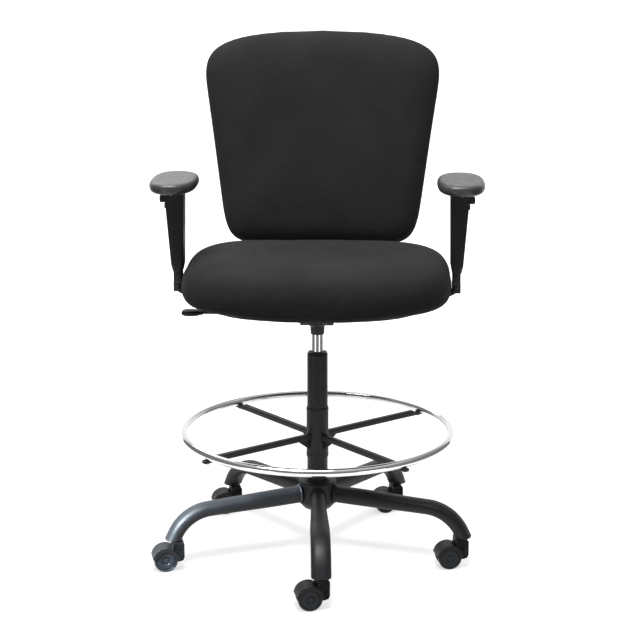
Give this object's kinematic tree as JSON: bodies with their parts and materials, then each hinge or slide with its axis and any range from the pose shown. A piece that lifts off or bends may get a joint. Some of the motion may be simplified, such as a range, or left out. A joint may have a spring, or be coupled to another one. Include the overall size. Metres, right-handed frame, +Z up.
{
  "type": "drafting chair",
  "caption": "Tall upholstered office chair with arms, gas lift, chrome foot ring and a caster base.",
  "frame": {"origin": "on the floor, under the axis of the gas lift", "axes": "+Z up, the chair faces -Y, and +X points to the right of a viewer in front of the chair"},
  "size_m": [0.7947, 0.7874, 1.254],
  "materials": {
    "black_steel": "satin",
    "chrome": "polished",
    "bright_steel": "satin",
    "black_plastic": "satin",
    "wheel_nylon": "satin",
    "black_fabric": "matte",
    "arm_pad_skin": "satin",
    "plywood": "matte",
    "guide_plastic": "satin"
  },
  "bodies": {
    "base": {"base_hub": "black_steel", "base_leg_1": "black_steel", "base_leg_2": "black_steel", "base_leg_3": "black_steel", "base_leg_4": "black_steel", "base_leg_5": "black_steel", "caster_stem_1": "bright_steel", "caster_stem_2": "bright_steel", "caster_stem_3": "bright_steel", "caster_stem_4": "bright_steel", "caster_stem_5": "bright_steel", "gas_lift_outer_tube": "black_steel", "gas_lift_guide_bush": "guide_plastic", "gas_lift_thrust_bearing": "bright_steel"},
    "caster_1": {"caster_housing_1": "black_plastic"},
    "wheel_1a": {"caster_wheel_1a": "wheel_nylon"},
    "wheel_1b": {"caster_wheel_1b": "wheel_nylon"},
    "caster_2": {"caster_housing_2": "black_plastic"},
    "wheel_2a": {"caster_wheel_2a": "wheel_nylon"},
    "wheel_2b": {"caster_wheel_2b": "wheel_nylon"},
    "caster_3": {"caster_housing_3": "black_plastic"},
    "wheel_3a": {"caster_wheel_3a": "wheel_nylon"},
    "wheel_3b": {"caster_wheel_3b": "wheel_nylon"},
    "caster_4": {"caster_housing_4": "black_plastic"},
    "wheel_4a": {"caster_wheel_4a": "wheel_nylon"},
    "wheel_4b": {"caster_wheel_4b": "wheel_nylon"},
    "caster_5": {"caster_housing_5": "black_plastic"},
    "wheel_5a": {"caster_wheel_5a": "wheel_nylon"},
    "wheel_5b": {"caster_wheel_5b": "wheel_nylon"},
    "footring_collar": {"footring_liner": "guide_plastic"},
    "footring": {"footring_spider": "black_steel", "footring_ring": "chrome"},
    "footring_clamp": {"footring_knob": "black_plastic"},
    "lift_rod": {"gas_lift_piston_rod": "bright_steel", "gas_lift_retaining_clip": "bright_steel"},
    "carrier": {"gas_lift_inner_tube": "chrome", "tilt_mechanism_body": "black_steel"},
    "seat_frame": {"seat_plate": "black_steel", "tilt_pivot_pin": "bright_steel", "seat_board": "plywood", "seat_bottom_cover": "black_plastic", "seat_cushion": "black_fabric", "back_bar": "black_steel", "back_board": "plywood", "back_shell": "black_plastic", "back_cushion": "black_fabric", "arm_bracket_left": "black_steel", "arm_bracket_right": "black_steel", "tilt_tension_spring": "bright_steel"},
    "lift_valve": {"gas_lift_valve_button": "bright_steel"},
    "lever_pivot": {"lever_bush": "guide_plastic"},
    "height_lever": {"height_lever_rod": "black_steel", "height_lever_handle": "black_plastic"},
    "tension_adjuster": {"tilt_tension_knob": "black_plastic"},
    "arm_left": {"arm_sleeve_left": "black_plastic", "arm_pad_left": "arm_pad_skin"},
    "arm_release_left": {"arm_button_left": "black_plastic"},
    "arm_right": {"arm_sleeve_right": "black_plastic", "arm_pad_right": "arm_pad_skin"},
    "arm_release_right": {"arm_button_right": "black_plastic"}
  },
  "joints": [
    {"name": "caster_swivel_1", "type": "hinge", "parent": "base", "child": "caster_1", "pos_m": [0.02198, -0.35933, 0.0735], "axis": [0, 0, 1], "continuous": true},
    {"name": "caster_roll_1a", "type": "hinge", "parent": "caster_1", "child": "wheel_1a", "pos_m": [-0.00569, -0.36572, 0.0285], "axis": [0.225, -0.9744, 0], "continuous": true},
    {"name": "caster_roll_1b", "type": "hinge", "parent": "caster_1", "child": "wheel_1b", "pos_m": [-0.00569, -0.36572, 0.0285], "axis": [0.225, -0.9744, 0], "continuous": true},
    {"name": "caster_swivel_2", "type": "hinge", "parent": "base", "child": "caster_2", "pos_m": [0.34853, -0.09014, 0.0735], "axis": [0, 0, 1], "continuous": true},
    {"name": "caster_roll_2a", "type": "hinge", "parent": "caster_2", "child": "wheel_2a", "pos_m": [0.32086, -0.09653, 0.0285], "axis": [0.225, -0.9744, 0], "continuous": true},
    {"name": "caster_roll_2b", "type": "hinge", "parent": "caster_2", "child": "wheel_2b", "pos_m": [0.32086, -0.09653, 0.0285], "axis": [0.225, -0.9744, 0], "continuous": true},
    {"name": "caster_swivel_3", "type": "hinge", "parent": "base", "child": "caster_3", "pos_m": [0.19343, 0.30362, 0.0735], "axis": [0, 0, 1], "continuous": true},
    {"name": "caster_roll_3a", "type": "hinge", "parent": "caster_3", "child": "wheel_3a", "pos_m": [0.16576, 0.29723, 0.0285], "axis": [0.225, -0.9744, 0], "continuous": true},
    {"name": "caster_roll_3b", "type": "hinge", "parent": "caster_3", "child": "wheel_3b", "pos_m": [0.16576, 0.29723, 0.0285], "axis": [0.225, -0.9744, 0], "continuous": true},
    {"name": "caster_swivel_4", "type": "hinge", "parent": "base", "child": "caster_4", "pos_m": [-0.22899, 0.27778, 0.0735], "axis": [0, 0, 1], "continuous": true},
    {"name": "caster_roll_4a", "type": "hinge", "parent": "caster_4", "child": "wheel_4a", "pos_m": [-0.25666, 0.2714, 0.0285], "axis": [0.225, -0.9744, 0], "continuous": true},
    {"name": "caster_roll_4b", "type": "hinge", "parent": "caster_4", "child": "wheel_4b", "pos_m": [-0.25666, 0.2714, 0.0285], "axis": [0.225, -0.9744, 0], "continuous": true},
    {"name": "caster_swivel_5", "type": "hinge", "parent": "base", "child": "caster_5", "pos_m": [-0.33495, -0.13194, 0.0735], "axis": [0, 0, 1], "continuous": true},
    {"name": "caster_roll_5a", "type": "hinge", "parent": "caster_5", "child": "wheel_5a", "pos_m": [-0.36262, -0.13833, 0.0285], "axis": [0.225, -0.9744, 0], "continuous": true},
    {"name": "caster_roll_5b", "type": "hinge", "parent": "caster_5", "child": "wheel_5b", "pos_m": [-0.36262, -0.13833, 0.0285], "axis": [0.225, -0.9744, 0], "continuous": true},
    {"name": "footring_height", "type": "slide", "parent": "base", "child": "footring_collar", "axis": [0, 0, 1], "range_m": [-0.045, 0.12]},
    {"name": "footring_turn", "type": "hinge", "parent": "footring_collar", "child": "footring", "pos_m": [0, 0, 0.311], "axis": [0, 0, 1], "continuous": true},
    {"name": "footring_knob_turn", "type": "hinge", "parent": "footring", "child": "footring_clamp", "pos_m": [0, 0.04, 0.344], "axis": [0, 1, 0], "range_deg": [0, 360]},
    {"name": "seat_swivel", "type": "hinge", "parent": "base", "child": "lift_rod", "pos_m": [0, 0, 0.127], "axis": [0, 0, 1], "continuous": true},
    {"name": "seat_height", "type": "slide", "parent": "lift_rod", "child": "carrier", "axis": [0, 0, 1], "range_m": [0, 0.25]},
    {"name": "seat_tilt", "type": "hinge", "parent": "carrier", "child": "seat_frame", "pos_m": [0, -0.125, 0.626], "axis": [-1, 0, 0], "range_deg": [0, 8], "stiffness_Nm_per_rad": 260, "springref_deg": -17.19, "deforming": ["tilt_tension_spring"]},
    {"name": "lever_lift", "type": "hinge", "parent": "carrier", "child": "lever_pivot", "pos_m": [-0.0385, 0, 0.606], "axis": [0, 1, 0], "range_deg": [0, 2.4], "stiffness_Nm_per_rad": 8, "springref_deg": -5.73},
    {"name": "lever_pull", "type": "slide", "parent": "lever_pivot", "child": "height_lever", "axis": [-1, 0, 0], "range_m": [0, 0.01]},
    {"name": "valve_press", "type": "slide", "parent": "carrier", "child": "lift_valve", "axis": [0, 0, -1], "range_m": [0, 0.0017]},
    {"name": "tension_knob_turn", "type": "hinge", "parent": "carrier", "child": "tension_adjuster", "pos_m": [0, -0.085, 0.6025], "axis": [0, 0, 1], "range_deg": [-360, 360]},
    {"name": "arm_height_left", "type": "slide", "parent": "seat_frame", "child": "arm_left", "axis": [0, 0, 1], "range_m": [-0.012, 0.088]},
    {"name": "arm_release_left", "type": "slide", "parent": "arm_left", "child": "arm_release_left", "axis": [1, 0, 0], "range_m": [0, 0.004], "stiffness_N_per_m": 600, "springref_m": -0.003},
    {"name": "arm_height_right", "type": "slide", "parent": "seat_frame", "child": "arm_right", "axis": [0, 0, 1], "range_m": [-0.012, 0.088]},
    {"name": "arm_release_right", "type": "slide", "parent": "arm_right", "child": "arm_release_right", "axis": [-1, 0, 0], "range_m": [0, 0.004], "stiffness_N_per_m": 600, "springref_m": -0.003}
  ],
  "couplings": [
    {"joint": "valve_press", "follows": "lever_lift", "m_per_rad": 0.033}
  ]
}
